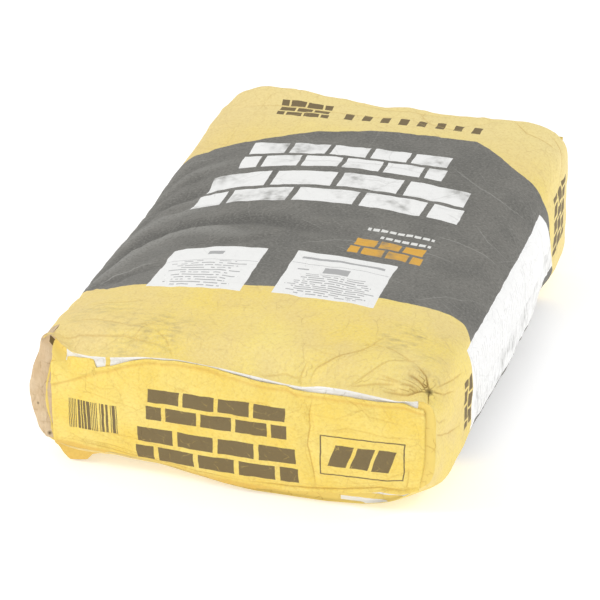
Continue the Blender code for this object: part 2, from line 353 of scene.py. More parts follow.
def distance_to(line, spots):
    """Signed distance from each spot to a line of points, and how far along it, from 0 to 1."""
    points = np.array(line, float)
    lengths = np.hypot(*np.diff(points, axis=0).T)
    starts = np.concatenate([[0], np.cumsum(lengths)])
    nearest = np.full(len(spots), 1e9)
    share = np.zeros(len(spots))
    side = np.ones(len(spots))
    for start, end, length, before in zip(points, points[1:], lengths, starts):
        way = (end - start) / length
        travelled = np.clip((spots - start) @ way, 0, length)
        apart = np.linalg.norm(spots - start - travelled[:, None] * way, axis=1)
        closer = apart < nearest
        nearest = np.where(closer, apart, nearest)
        share = np.where(closer, (before + travelled) / starts[-1], share)
        side = np.where(closer, np.sign((spots - start) @ np.array((-way[1], way[0]))), side)
    return nearest, share, side


def crease_field(creases, spots, sharpness):
    """Depth of a set of creases at each spot, its distance from the nearest, and how plain that is."""
    depth = np.zeros(len(spots))
    apart = np.full(len(spots), 9.0)
    plain = np.zeros(len(spots))
    for line, deep, half_width in creases:
        distance, share, side = distance_to(line, spots)
        fade = np.clip(5.5 * share * (1 - share), 0, 1)
        depth += deep * MM * np.clip(1 - distance / half_width, 0, 1) ** sharpness * fade
        closer = distance < np.abs(apart)
        apart = np.where(closer, distance * side, apart)
        strength = fade * min(1, abs(deep) / 1.5) * np.clip(2 - distance / 3, 0, 1)
        plain = np.where(closer, strength, plain)
    return depth, apart, plain


def soft_folds(folds, spots):
    """Depth of the wide folds at each spot, which run on round the side and fade at their inner end."""
    depth = np.zeros(len(spots))
    for line, deep, half_width in folds:
        apart, share = distance_to(line, spots)[:2]
        fade = np.clip(2.6 * (share + 0.22), 0, 1) * np.clip(3.2 * (1 - share), 0, 1)
        depth += deep * MM * np.clip(1 - (apart / half_width) ** 2, 0, 1) ** 1.5 * fade
    return depth


def scattered_creases(seed, count, low, high, lengths):
    """Short creases from handling, at random places and mostly across the sheet."""
    rng = random.Random(seed)
    creases = []
    for _ in range(count):
        u, v = rng.uniform(low[0], high[0]), rng.uniform(low[1], high[1])
        length = rng.uniform(*lengths)
        turn = rng.gauss(0.0, 0.75)
        bend = rng.uniform(-0.18, 0.18) * length
        du, dv = length / 2 * math.cos(turn), length / 2 * math.sin(turn)
        line = ((u - du, v - dv), (u - dv * bend / length, v + du * bend / length), (u + du, v + dv))
        deep = rng.choice((-1, 1)) * rng.uniform(0.25, 0.8)
        creases.append((line, deep, rng.uniform(3.5, 7.0)))
    return creases


def rough(points, size, seed):
    """Noise from -1 to 1 at each point, with bumps of about the given size."""
    shift = Vector((seed * 17.3, seed * 5.1, seed * 9.7))
    return np.array([noise.noise(Vector(point) / size + shift) for point in points])


def paper_relief(points):
    """Bulges of the filling and the flat facets of handled paper, the same on every face."""
    bulges = BULGE_HEIGHT * rough(points, BULGE_SIZE, 1)
    facets = FACET_HEIGHT * (np.abs(rough(points, FACET_SIZE, 2)) - np.abs(rough(points, FACET_SIZE, 3)))
    crumple = CRUMPLE_HEIGHT * (np.abs(rough(points, CRUMPLE_SIZE, 4)) - 0.25)
    return bulges + facets + crumple


# Meshes

ON_FACE = 0.9999           # past this a point of the cube counts as on its face
RIM_ALONG = 0.985          # past both of these it is near the fold round an end
RIM_ACROSS = 0.975
LEFT_SWELL = 0.0030        # how far the filling pushes the left side out, and the right side lies in
RIGHT_DRAW = 0.0025


def new_piece(name, data, node, materials):
    """A finished piece that stands for a node of the frame."""
    data.transform(Matrix.Translation((MIDDLE_X, 0.0, 0.0)))
    piece = bpy.data.objects.new(name, data)
    bpy.context.scene.collection.objects.link(piece)
    for material in materials:
        data.materials.append(material)
    data.shade_smooth()
    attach(piece, "root")
    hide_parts(node)
    return piece


def vertex_rows(data, what="co"):
    """The places of a mesh's points, or their normals, one to a row."""
    flat = np.empty(len(data.vertices) * 3)
    data.vertices.foreach_get(what, flat)
    return flat.reshape(-1, 3)


def place_vertices(data, points):
    data.vertices.foreach_set("co", np.ascontiguousarray(points, dtype=float).ravel())
    data.update()


def written(mesh, data):
    """Put an edited mesh into a piece's data."""
    mesh.to_mesh(data)
    mesh.free()
    data.update()
    return data


def add_uv(data, by_corner):
    layer = data.uv_layers.new(name="sheet")
    layer.data.foreach_set("uv", np.ascontiguousarray(by_corner, dtype=float).ravel())


def corner_vertices(data):
    indices = np.empty(len(data.loops), dtype=np.int64)
    data.loops.foreach_get("vertex_index", indices)
    return indices


def add_attribute(data, name, values):
    layer = data.attributes.new(name, "FLOAT", "POINT")
    layer.data.foreach_set("value", values.astype(np.float32))


def lay_flat(data, x, z):
    """Give a sheet of an end its places on the flat."""
    add_uv(data, np.stack([x, z], 1)[corner_vertices(data)])


def kept_creases(data, name, creases, spots, sharpness, shown=1.0):
    """Depth of a set of creases. The piece keeps what their worn lines are drawn from."""
    depth, apart, plain = crease_field(creases, spots, sharpness)
    add_attribute(data, name + "_apart", apart)
    add_attribute(data, name + "_plain", plain * shown)
    return depth


def gridded_cube():
    """A cube from -1 to 1, cut into rows that are closer near its edges."""
    mesh = bmesh.new()
    bmesh.ops.create_cube(mesh, size=2.0)
    for axis, cells in enumerate(CELLS):
        others = [other for other in range(3) if other != axis]
        running = [
            edge for edge in mesh.edges
            if all(abs(edge.verts[0].co[other] - edge.verts[1].co[other]) < 1e-6 for other in others)
        ]
        bmesh.ops.subdivide_edges(mesh, edges=running, cuts=cells - 1, use_grid_fill=True)
    data = written(mesh, bpy.data.meshes.new("filled_sack"))
    cube = vertex_rows(data)
    return data, cube * (1.25 - 0.25 * cube ** 2)


def smoothed(mesh, verts, times):
    for _ in range(times):
        bmesh.ops.smooth_vert(
            mesh, verts=verts, factor=0.5, use_axis_x=True, use_axis_y=True, use_axis_z=True
        )


def round_rims(data, cube):
    """Ease the folds round both end faces, which are sharp on the cube."""
    outer = np.max(np.abs(cube[:, [0, 2]]), axis=1)
    near = (np.abs(cube[:, 1]) > RIM_ALONG) & (outer > RIM_ACROSS)
    mesh = bmesh.new()
    mesh.from_mesh(data)
    mesh.verts.ensure_lookup_table()
    smoothed(mesh, [mesh.verts[index] for index in np.nonzero(near)[0]], 4)
    written(mesh, data)


def pinched(points):
    """Draw the paper in at the corners."""
    moved = points.copy()
    for place, reach, shift in PINCHES:
        apart = np.linalg.norm(points - np.array(place), axis=1)
        share = np.clip(1 - apart / reach, 0, 1) ** 1.6
        moved += share[:, None] * np.array(shift)
    return moved


def filled_sack(print_paper, flap_paper):
    """The paper tube with its filling, and the flaps that close its ends."""
    data, cube = gridded_cube()
    points = sack_form(*cube.T)
    on_end = np.abs(cube[:, 1]) > ON_FACE
    inner_end = on_end & (np.max(np.abs(cube[:, [0, 2]]), axis=1) < ON_FACE)
    at_valve = cube[:, 1] < -ON_FACE
    x, z = points[:, 0], points[:, 2]
    recess = foot_recess(x, z) + fold_recess(x, z) + under_leaf(x, z)
    points[:, 1] += np.where(at_valve & inner_end, recess, 0)
    foot_rim = at_valve & (cube[:, 2] < -ON_FACE)
    points[:, 1] += np.where(foot_rim, foot_recess(x, z), 0)
    far_rise = along_line(FAR_RIM, points[:, 0]) * eased((cube[:, 1] - 0.86) / 0.14)
    points[:, 2] += far_rise * np.clip(cube[:, 2], 0, 1)
    points[:, 0] += corner_draw(*points.T)
    points += side_swell(*cube.T)
    place_vertices(data, points)
    round_rims(data, cube)

    u, v = sheet_places(*cube.T)
    spots = np.stack([u, v], 1) / MM
    named = kept_creases(data, "named", NAMED_CREASES, spots, 1.6, ~inner_end)
    small = kept_creases(data, "small", scattered_creases(*SACK_SCATTER), spots, 1.4, ~inner_end)
    soft = soft_folds(SHOULDER_FOLDS, spots)
    depth = np.where(inner_end, 0.0, named + small + soft)
    points = vertex_rows(data)
    relief = paper_relief(points) - depth
    below = eased(points[:, 2] / 0.02)
    points = points + vertex_rows(data, "normal") * (relief * np.maximum(below, 0.15))[:, None]
    points = pinched(points)
    points[:, 2] = np.maximum(points[:, 2], 0.0)
    place_vertices(data, points)

    corners = corner_vertices(data)
    faces = np.repeat(np.arange(len(data.polygons)), 4)
    side = np.sign(cube[corners, 0].reshape(-1, 4).mean(1))[faces]
    seam = np.abs(np.abs(u[corners]) - HALF_TUBE) < 1e-6
    corner_u = np.where(seam, side * HALF_TUBE, u[corners])
    end_face = np.all(on_end[corners].reshape(-1, 4), axis=1)
    corner_uv = np.stack([corner_u, v[corners]], 1)
    flat_uv = points[corners][:, [0, 2]]
    add_uv(data, np.where(end_face[faces][:, None], flat_uv, corner_uv))
    data.polygons.foreach_set("material_index", end_face.astype(np.int32))
    # The wide folds' height, from which light and shade are painted on the charcoal
    add_attribute(data, "fold_height", -soft / (3 * MM))
    sack = new_piece(
        "filled_sack_paper", data, "filled_sack", (print_paper, flap_paper)
    )
    return sack


def side_swell(across, along, upright):
    """The filling pushes the left shoulder out; the right side lies in a little at the closed end."""
    v = along * LENGTH / 2
    left = np.clip(-across, 0, 1) ** 2 * eased((v + 0.13) / 0.07) * eased((0.20 - v) / 0.08)
    right = np.clip(across, 0, 1) ** 2 * eased((v - 0.06) / 0.10)
    shift = np.zeros((len(across), 3))
    shift[:, 0] = -LEFT_SWELL * left - RIGHT_DRAW * right
    shift[:, 2] = 0.001 * left * np.clip(upright, 0, 1)
    return shift


def sheet_grid(name, cells):
    """A flat grid from 0 to 1, and its places."""
    mesh = bmesh.new()
    bmesh.ops.create_grid(mesh, x_segments=cells[0], y_segments=cells[1], size=0.5)
    data = written(mesh, bpy.data.meshes.new(name))
    places = vertex_rows(data)[:, :2] + 0.5
    return data, places[:, 0], places[:, 1]


def give_thickness(data, thickness):
    """Make a closed sheet of a surface that faces outwards."""
    mesh = bmesh.new()
    mesh.from_mesh(data)
    bmesh.ops.solidify(mesh, geom=mesh.faces[:], thickness=thickness)
    bmesh.ops.recalc_face_normals(mesh, faces=mesh.faces[:])
    written(mesh, data)


def lip_roll(x, z):
    """The leaf's upper edge is rolled over, with a groove below the roll and the tab behind it."""
    below = (along_line(LIP_LINE, x) - z) / MM
    roll = 1.1 * np.exp(-((below - 1.3) / 1.3) ** 2)
    groove = -0.4 * np.exp(-((below - 4.2) / 1.3) ** 2)
    tab = -0.3 * eased(-below / 0.8)
    return (roll + groove + tab) * MM


def valve_end_leaf(material):
    """The cover leaf of the valve end, with its tab, rolled lip and loose lower corner."""
    data, share_x, share_z = sheet_grid("valve_end_leaf", VALVE_LEAF_CELLS)
    x = (LEAF_LEFT + (LEAF_RIGHT - LEAF_LEFT) * share_x) * MM
    foot = along_line(LEAF_FOOT, x)
    z = foot + (along_line(LEAF_TOP, x) - foot) * share_z
    points = np.stack([x, valve_face(x, z), z], 1)
    spots = np.stack([x, z], 1) / MM
    named = kept_creases(data, "named", LEAF_CREASES, spots, 1.5)
    small = kept_creases(data, "small", scattered_creases(*VALVE_LEAF_SCATTER), spots, 1.4)
    low_roll = 1.3 * MM * np.exp(-(((z - foot) / MM - 1.5) / 1.6) ** 2) * eased((x - 0.03) / 0.03)
    curl = 0.8 * MM * eased((0.015 - share_x) / 0.015)
    flare = 3 * MM * eased((0.10 - share_x) / 0.05) * eased((16 * MM - z) / (10 * MM))
    folded = lip_roll(x, z) + low_roll + curl + flare
    points[:, 1] -= LEAF_PROUD + paper_relief(points) - named - 0.7 * small + folded
    place_vertices(data, pinched(points))
    lay_flat(data, x, z)
    # Painted shade on the leaf: darker under the crease at the foot, where the end turns in, and a painted
    # shadow in the groove below the rolled lip
    folded_under = eased((along_line(FOOT_LINE, x) - z) / (4 * MM)) * eased((0.06 - x) / 0.05)
    below_lip = np.exp(-(((along_line(LIP_LINE, x) - z) / MM - 4.2) / 1.1) ** 2)
    add_attribute(data, "painted_shade", np.maximum(folded_under, 0.8 * below_lip))
    give_thickness(data, LEAF_THICKNESS)
    return new_piece("valve_end_leaf", data, "valve_end_patch", (material,))


def closed_end_leaf(material):
    """The cover leaf of the closed end."""
    data, share_x, share_z = sheet_grid("closed_end_leaf", CLOSED_LEAF_CELLS)
    x = (CLOSED_LEAF_LEFT + CLOSED_LEAF_SIZE[0] * share_x) * MM
    z = (CLOSED_LEAF_FOOT + CLOSED_LEAF_SIZE[1] * share_z) * MM
    points = np.stack([x, end_face(x, z, END_LIFT, CLOSED_END_HEIGHT), z], 1)
    spots = np.stack([x, z], 1) / MM
    small = kept_creases(data, "small", scattered_creases(*CLOSED_LEAF_SCATTER), spots, 1.4)
    lip = eased((share_z - 0.955) / 0.045) + eased((0.03 - share_z) / 0.03)
    points[:, 1] += LEAF_PROUD + paper_relief(points) - small + 0.8 * MM * lip
    place_vertices(data, points)
    lay_flat(data, x, z)
    give_thickness(data, LEAF_THICKNESS)
    return new_piece("closed_end_leaf", data, "closed_end_patch", (material,))


def kraft_sleeve(material):
    """The valve sleeve, from under the leaf's left edge round the corner of the sack."""
    data, share_round, share_up = sheet_grid("kraft_valve_sleeve", SLEEVE_CELLS)
    corner = 0.5
    on_end = share_round < corner
    across = np.where(on_end, -0.83 - 0.17 * share_round / corner, -1.0)
    along = np.where(on_end, -1.0, -1 + 0.13 * (share_round - corner) / (1 - corner))
    upright = -0.88 + 1.84 * share_up
    points = sack_form(across, along, upright)
    x, z = points[:, 0], points[:, 2]
    bulge = np.sin(np.pi * share_up) * np.exp(-((share_round - corner) / 0.22) ** 2)
    bulge *= eased((-x - 0.151) / 0.008)
    tucked = 1.6 * MM * eased((x + 0.156) / 0.005)
    points[:, 1] += np.where(on_end, fold_recess(x, z) - 0.7 * MM + tucked, 0.0) - 1.2 * MM * bulge
    points[:, 0] -= 0.8 * MM * ~on_end + 1.4 * MM * bulge
    points[:, 0] += corner_draw(*points.T)
    relief = paper_relief(points)
    points[:, 0] -= relief
    points[:, 1] -= relief
    place_vertices(data, points)
    mesh = bmesh.new()
    mesh.from_mesh(data)
    smoothed(mesh, [vert for vert in mesh.verts if not vert.is_boundary], 6)
    bmesh.ops.recalc_face_normals(mesh, faces=mesh.faces[:])
    written(mesh, data)
    lay_flat(data, *vertex_rows(data).T[[0, 2]])
    give_thickness(data, SLEEVE_THICKNESS)
    return new_piece("kraft_valve_sleeve", data, "valve_sleeve", (material,))


# Materials

def colour(code):
    """A linear colour with alpha from an sRGB hex code."""
    parts = [int(code[start:start + 2], 16) / 255 for start in (1, 3, 5)]
    linear = [part / 12.92 if part <= 0.04045 else ((part + 0.055) / 1.055) ** 2.4 for part in parts]
    return (*linear, 1.0)


def node(tree, kind, inputs=None, **settings):
    """Add a node. An input is a value, or another node, or one of its outputs."""
    item = tree.nodes.new("ShaderNode" + kind)
    for name, value in settings.items():
        setattr(item, name, value)
    sockets = [socket for socket in item.inputs if socket.enabled]
    for name, value in (inputs or {}).items():
        socket = sockets[name] if isinstance(name, int) else next(s for s in sockets if s.name == name)
        if isinstance(value, bpy.types.Node):
            value = next(output for output in value.outputs if output.enabled)
        if isinstance(value, bpy.types.NodeSocket):
            tree.links.new(value, socket)
        else:
            socket.default_value = value
    return item


def new_material(name, roughness):
    material = bpy.data.materials.new(name)
    material.use_nodes = True
    tree = material.node_tree
    shader = tree.nodes["Principled BSDF"]
    shader.inputs["Roughness"].default_value = roughness
    shader.inputs["Specular IOR Level"].default_value = 0.25
    return material, tree, shader


def rectangle(tree, place, low, high):
    """1 inside a rectangle of the sheet, given by two corners in millimetres."""
    middle = [(first + last) / 2 * MM for first, last in zip(low, high)] + [0]
    half = [(last - first) / 2 * MM for first, last in zip(low, high)] + [1]
    centred = node(tree, "VectorMath", {0: place, 1: middle}, operation="SUBTRACT")
    scaled = node(tree, "VectorMath", {0: centred, 1: half}, operation="DIVIDE")
    sized = node(tree, "VectorMath", {0: scaled}, operation="ABSOLUTE")
    parts = node(tree, "SeparateXYZ", {0: sized})
    further = node(tree, "Math", {0: parts.outputs[0], 1: parts.outputs[1]}, operation="MAXIMUM")
    return node(tree, "Math", {0: further, 1: 1.0}, operation="LESS_THAN")


def bond(tree, place, low, high, block, joint, offset=0.5):
    """Blocks in running bond inside a rectangle of the sheet."""
    start = [low[0] * MM, low[1] * MM, 0]
    shifted = node(tree, "VectorMath", {0: place, 1: start}, operation="SUBTRACT")
    bricks = node(
        tree, "TexBrick",
        {"Vector": shifted, "Scale": 1.0, "Mortar Size": joint * MM / 2, "Mortar Smooth": 0.0,
         "Brick Width": block[0] * MM, "Row Height": block[1] * MM},
        offset=offset,
    )
    solid = node(tree, "Math", {0: 1.0, 1: bricks.outputs["Fac"]}, operation="SUBTRACT")
    inside = rectangle(tree, place, low, high)
    return node(tree, "Math", {0: solid, 1: inside}, operation="MULTIPLY")


def fine_lines(tree, place, low, high, pitch, thickness, seed):
    """Rows of plain broken lines of uneven length, drawn as coarse as they need to be to show."""
    parts = node(tree, "SeparateXYZ", {0: place})
    rows = node(tree, "Math", {0: parts.outputs[1], 1: pitch * MM}, operation="DIVIDE")
    row = node(tree, "Math", {0: rows}, operation="FLOOR")
    within = node(tree, "Math", {0: rows}, operation="FRACT")
    inked = node(tree, "Math", {0: within, 1: thickness / pitch}, operation="LESS_THAN")
    seeded = node(tree, "Math", {0: row, 1: seed}, operation="ADD")
    dice = node(tree, "TexWhiteNoise", {"W": seeded}, noise_dimensions="1D")
    reach = node(tree, "Math", {0: dice.outputs["Value"], 1: 0.38, 2: 0.62}, operation="MULTIPLY_ADD")
    middle = (low[0] + high[0]) / 2 * MM
    aside = node(tree, "Math", {0: parts.outputs[0], 1: middle}, operation="SUBTRACT")
    distance = node(tree, "Math", {0: aside}, operation="ABSOLUTE")
    limit = node(tree, "Math", {0: reach, 1: (high[0] - low[0]) / 2 * MM}, operation="MULTIPLY")
    ragged = node(tree, "Math", {0: distance, 1: limit}, operation="LESS_THAN")
    jump = node(tree, "Math", {0: row, 1: 7.31}, operation="MULTIPLY")
    dashes = node(tree, "CombineXYZ", {0: parts.outputs[0], 1: jump})
    gaps = node(tree, "TexNoise", {"Vector": dashes, "Scale": 260.0, "Detail": 0.0})
    filled = node(tree, "Math", {0: gaps.outputs["Fac"], 1: 0.40}, operation="GREATER_THAN")
    return masked(tree, rectangle(tree, place, low, high), (inked, ragged, filled))


def bars(tree, place, low, high, module, seed):
    """Upright bars of uneven width in a rectangle of the sheet."""
    parts = node(tree, "SeparateXYZ", {0: place})
    columns = node(tree, "Math", {0: parts.outputs[0], 1: module * MM}, operation="DIVIDE")
    column = node(tree, "Math", {0: columns}, operation="FLOOR")
    seeded = node(tree, "Math", {0: column, 1: seed}, operation="ADD")
    dice = node(tree, "TexWhiteNoise", {"W": seeded}, noise_dimensions="1D")
    dark = node(tree, "Math", {0: dice.outputs["Value"], 1: 0.44}, operation="GREATER_THAN")
    return node(tree, "Math", {0: dark, 1: rectangle(tree, place, low, high)}, operation="MULTIPLY")


def outline(tree, place, low, high, line):
    """The outline of a rectangle of the sheet."""
    outer = rectangle(tree, place, low, high)
    inner = rectangle(tree, place, (low[0] + line, low[1] + line), (high[0] - line, high[1] - line))
    return node(tree, "Math", {0: outer, 1: inner}, operation="SUBTRACT")


def spot(tree, place, middle, radius):
    """A soft round mark round a point of the sheet, used for smudges of dirt and for painted shade."""
    centre = [middle[0] * MM, middle[1] * MM, 0]
    apart = node(tree, "VectorMath", {0: place, 1: centre}, operation="DISTANCE")
    return node(
        tree, "MapRange",
        {"Value": apart.outputs["Value"], "From Max": radius * MM, "To Min": 1.0, "To Max": 0.0},
    )


def cloud(tree, place, size, detail=3.0, stretch=(1, 1, 1), low=0.35, high=0.65):
    """Noise with patches of about the given size in millimetres, spread over 0 to 1."""
    scaled = node(tree, "Mapping", {"Vector": place, "Scale": [1 / (size * MM * part) for part in stretch]})
    patches = node(tree, "TexNoise", {"Vector": scaled, "Scale": 1.0, "Detail": detail})
    return node(
        tree, "MapRange", {"Value": patches.outputs["Fac"], "From Min": low, "From Max": high}
    )


def crackle(tree, place, size, width):
    """The fine broken lines round the facets of handled paper; size and width in millimetres."""
    drift = node(tree, "TexNoise", {"Vector": place, "Scale": 0.8 / (size * MM), "Detail": 4.0})
    warped = node(
        tree, "VectorMath", {0: drift.outputs["Color"], 1: [1.1 * size * MM] * 3, 2: place},
        operation="MULTIPLY_ADD",
    )
    cells = node(
        tree, "TexVoronoi", {"Vector": warped, "Scale": 1 / (size * MM)},
        feature="DISTANCE_TO_EDGE", voronoi_dimensions="2D",
    )
    line = node(
        tree, "MapRange",
        {"Value": cells.outputs["Distance"], "From Max": width / size, "To Min": 1.0, "To Max": 0.0},
    )
    patchy = cloud(tree, place, 0.7 * size, detail=3.0, low=0.46, high=0.62)
    return node(tree, "Math", {0: line, 1: patchy}, operation="MULTIPLY")


def crease_line(tree, name, width):
    """A crisp line along the modelled creases, where folding broke the ink; width in millimetres."""
    apart = node(tree, "Attribute", attribute_name=name + "_apart", attribute_type="GEOMETRY")
    plain = node(tree, "Attribute", attribute_name=name + "_plain", attribute_type="GEOMETRY")
    distance = node(tree, "Math", {0: apart.outputs["Fac"]}, operation="ABSOLUTE")
    line = node(
        tree, "MapRange", {"Value": distance, "From Max": width, "To Min": 1.0, "To Max": 0.0}
    )
    return node(tree, "Math", {0: line, 1: plain.outputs["Fac"]}, operation="MULTIPLY")


def masked(tree, share, masks):
    """A strength where all the masks are."""
    for mask in masks:
        share = node(tree, "Math", {0: mask, 1: share}, operation="MULTIPLY", use_clamp=True)
    return share


def coated(tree, base, coats):
    """Lay coats over a base, in order. A coat is a colour, its strength and the masks that bound it."""
    for ink, strength, *masks in coats:
        share = masked(tree, strength, masks)
        ink = colour(ink) if isinstance(ink, str) else ink
        base = node(tree, "Mix", {"Factor": share, "A": base, "B": ink}, data_type="RGBA")
    return base


def marks_together(tree, masks):
    """Several marks that share one ink."""
    whole = masks[0]
    for mask in masks[1:]:
        whole = node(tree, "Math", {0: whole, 1: mask}, operation="MAXIMUM")
    return whole


def rectangles(tree, place, corners):
    """1 inside any of several rectangles."""
    return marks_together(tree, [rectangle(tree, place, low, high) for low, high in corners])


def bonds(tree, place, walls):
    """Several areas of blocks. Each has two corners, and the size and joint of its blocks."""
    return marks_together(tree, [bond(tree, place, *wall) for wall in walls])


def handling_marks(tree, place, line_widths, crack_sizes):
    """Named and small crease lines, cracks of several sizes, and the crepe and pits of the paper."""
    creased = crease_line(tree, "named", line_widths[0])
    lightly = crease_line(tree, "small", line_widths[1])
    cracks = [crackle(tree, place, size, width) for size, width in crack_sizes]
    crepe = cloud(tree, place, 1.7, detail=5.0, stretch=(1.5, 0.8, 1), low=0.46, high=0.66)
    pits = cloud(tree, place, 2.6, detail=6.0, low=0.50, high=0.66)
    return creased, lightly, cracks, crepe, pits


def ink_left(tree, strength, *masks):
    """What is left of the ink where the masks wear it away."""
    share = masked(tree, strength, masks)
    return node(tree, "Math", {0: 1.0, 1: share}, operation="SUBTRACT", use_clamp=True)


def paper_finish(tree, shader, base, place, dents, strength):
    """The paper's colour, its fibres and fine crepe, drawn at 1 to 3 mm so that they show, and its dents."""
    crepe = node(tree, "Mapping", {"Vector": place, "Scale": (420, 760, 1)})
    height = node(tree, "TexNoise", {"Vector": crepe, "Scale": 1.0, "Detail": 3.0, "Roughness": 0.6})
    wrinkles = node(tree, "TexNoise", {"Vector": place, "Scale": 110.0, "Detail": 5.0, "Roughness": 0.6})
    height = node(
        tree, "Math", {0: wrinkles.outputs["Fac"], 1: 2.4, 2: height.outputs["Fac"]},
        operation="MULTIPLY_ADD",
    )
    for mask, deep in dents:
        height = node(tree, "Math", {0: mask, 1: -deep, 2: height}, operation="MULTIPLY_ADD")
    bump = node(tree, "Bump", {"Strength": strength, "Distance": 0.0007, "Height": height})
    tree.links.new(bump.outputs["Normal"], shader.inputs["Normal"])
    tree.links.new(next(o for o in base.outputs if o.enabled), shader.inputs["Base Color"])


PRINT_DRIFT = 2 * MM


def sheet_place(tree):
    """Places on the paper, moved by a hair so that no printed edge is quite straight."""
    flat = node(tree, "UVMap", uv_map="sheet")
    drift = node(tree, "TexNoise", {"Vector": flat, "Scale": 70.0, "Detail": 2.0})
    centred = node(
        tree, "VectorMath", {0: drift.outputs["Color"], 1: (0.5, 0.5, 0.5)}, operation="SUBTRACT"
    )
    moved = node(tree, "VectorMath", {0: centred, "Scale": PRINT_DRIFT}, operation="SCALE")
    return node(tree, "VectorMath", {0: flat, 1: moved}, operation="ADD"), flat


BAND_FAR_EDGE = ((-258, 172), (-203, 140), (-140, 147), (-112, 150), (-78, 164), (-53, 174), (-25, 180),
                 (0, 187), (90, 187), (101, 180), (122, 163), (139, 152), (156, 146), (173, 138),
                 (203, 139), (230, 151), (258, 172))
BAND_NEAR_EDGE = ((-258, -104), (-200, -106), (-180, -112), (-165, -124), (-140, -138), (-105, -145),
                  (-34, -141), (0, -136), (60, -131), (117, -127), (150, -124), (165, -124), (178, -138),
                  (200, -142), (258, -142))
CURVE_REACH = 0.300        # half the span of u that the band's curved edges cover
CURVE_SPAN = 0.100         # the range of v that each edge stays in


# The white side panel: two corners, and its slanting far edge; it starts further round on the left side
PANEL_LOW = (177, -150)
PANEL_HIGH = (252, 190)
PANEL_FAR_EDGE = ((175, 116), (258, 172))
PANEL_TURN = 12


def curved_edge(tree, u, line, lowest):
    """v of a curved edge of the print at each u, from its points in millimetres."""
    share = node(
        tree, "MapRange",
        {"Value": u, "From Min": -CURVE_REACH, "From Max": CURVE_REACH, "To Min": 0.0, "To Max": 1.0},
    )
    curve = node(tree, "FloatCurve", {"Value": share})
    points = curve.mapping.curves[0].points
    places = [
        ((u_mm * MM + CURVE_REACH) / (2 * CURVE_REACH), (v_mm * MM - lowest) / CURVE_SPAN)
        for u_mm, v_mm in line
    ]
    points[0].location = (0.0, places[0][1])
    points[-1].location = (1.0, places[-1][1])
    for x, y in places:
        points.new(x, y)
    for point in points:
        point.handle_type = "VECTOR"
    curve.mapping.update()
    return node(tree, "Math", {0: curve, 1: CURVE_SPAN, 2: lowest}, operation="MULTIPLY_ADD")


def sack_print(tree, place):
    """Masks of the tube's print: the charcoal band, and the panels that are left white."""
    parts = node(tree, "SeparateXYZ", {0: place})
    u, v = parts.outputs[0], parts.outputs[1]
    below = node(tree, "Math", {0: v, 1: curved_edge(tree, u, BAND_FAR_EDGE, 0.1)}, operation="LESS_THAN")
    above = node(
        tree, "Math", {0: v, 1: curved_edge(tree, u, BAND_NEAR_EDGE, -0.18)}, operation="GREATER_THAN"
    )
    band = node(tree, "Math", {0: below, 1: above}, operation="MULTIPLY")

    # Both sides have the same marks, on the left side twice the turn further round
    turned = node(tree, "Math", {0: u, 1: PANEL_TURN * MM}, operation="ADD")
    round_tube = node(tree, "Math", {0: turned}, operation="ABSOLUTE")
    folded_u = node(tree, "Math", {0: round_tube, 1: PANEL_TURN * MM}, operation="SUBTRACT")
    start, end = PANEL_FAR_EDGE
    climb = (end[1] - start[1]) / (end[0] - start[0])
    height = (start[1] - start[0] * climb) * MM
    slope = node(tree, "Math", {0: folded_u, 1: climb, 2: height}, operation="MULTIPLY_ADD")
    side_far = node(tree, "Math", {0: v, 1: slope}, operation="LESS_THAN")
    folded = node(tree, "CombineXYZ", {0: folded_u, 1: v})
    panel = rectangle(tree, folded, PANEL_LOW, PANEL_HIGH)
    side_panel = node(tree, "Math", {0: panel, 1: side_far}, operation="MULTIPLY")
    return band, side_panel, folded


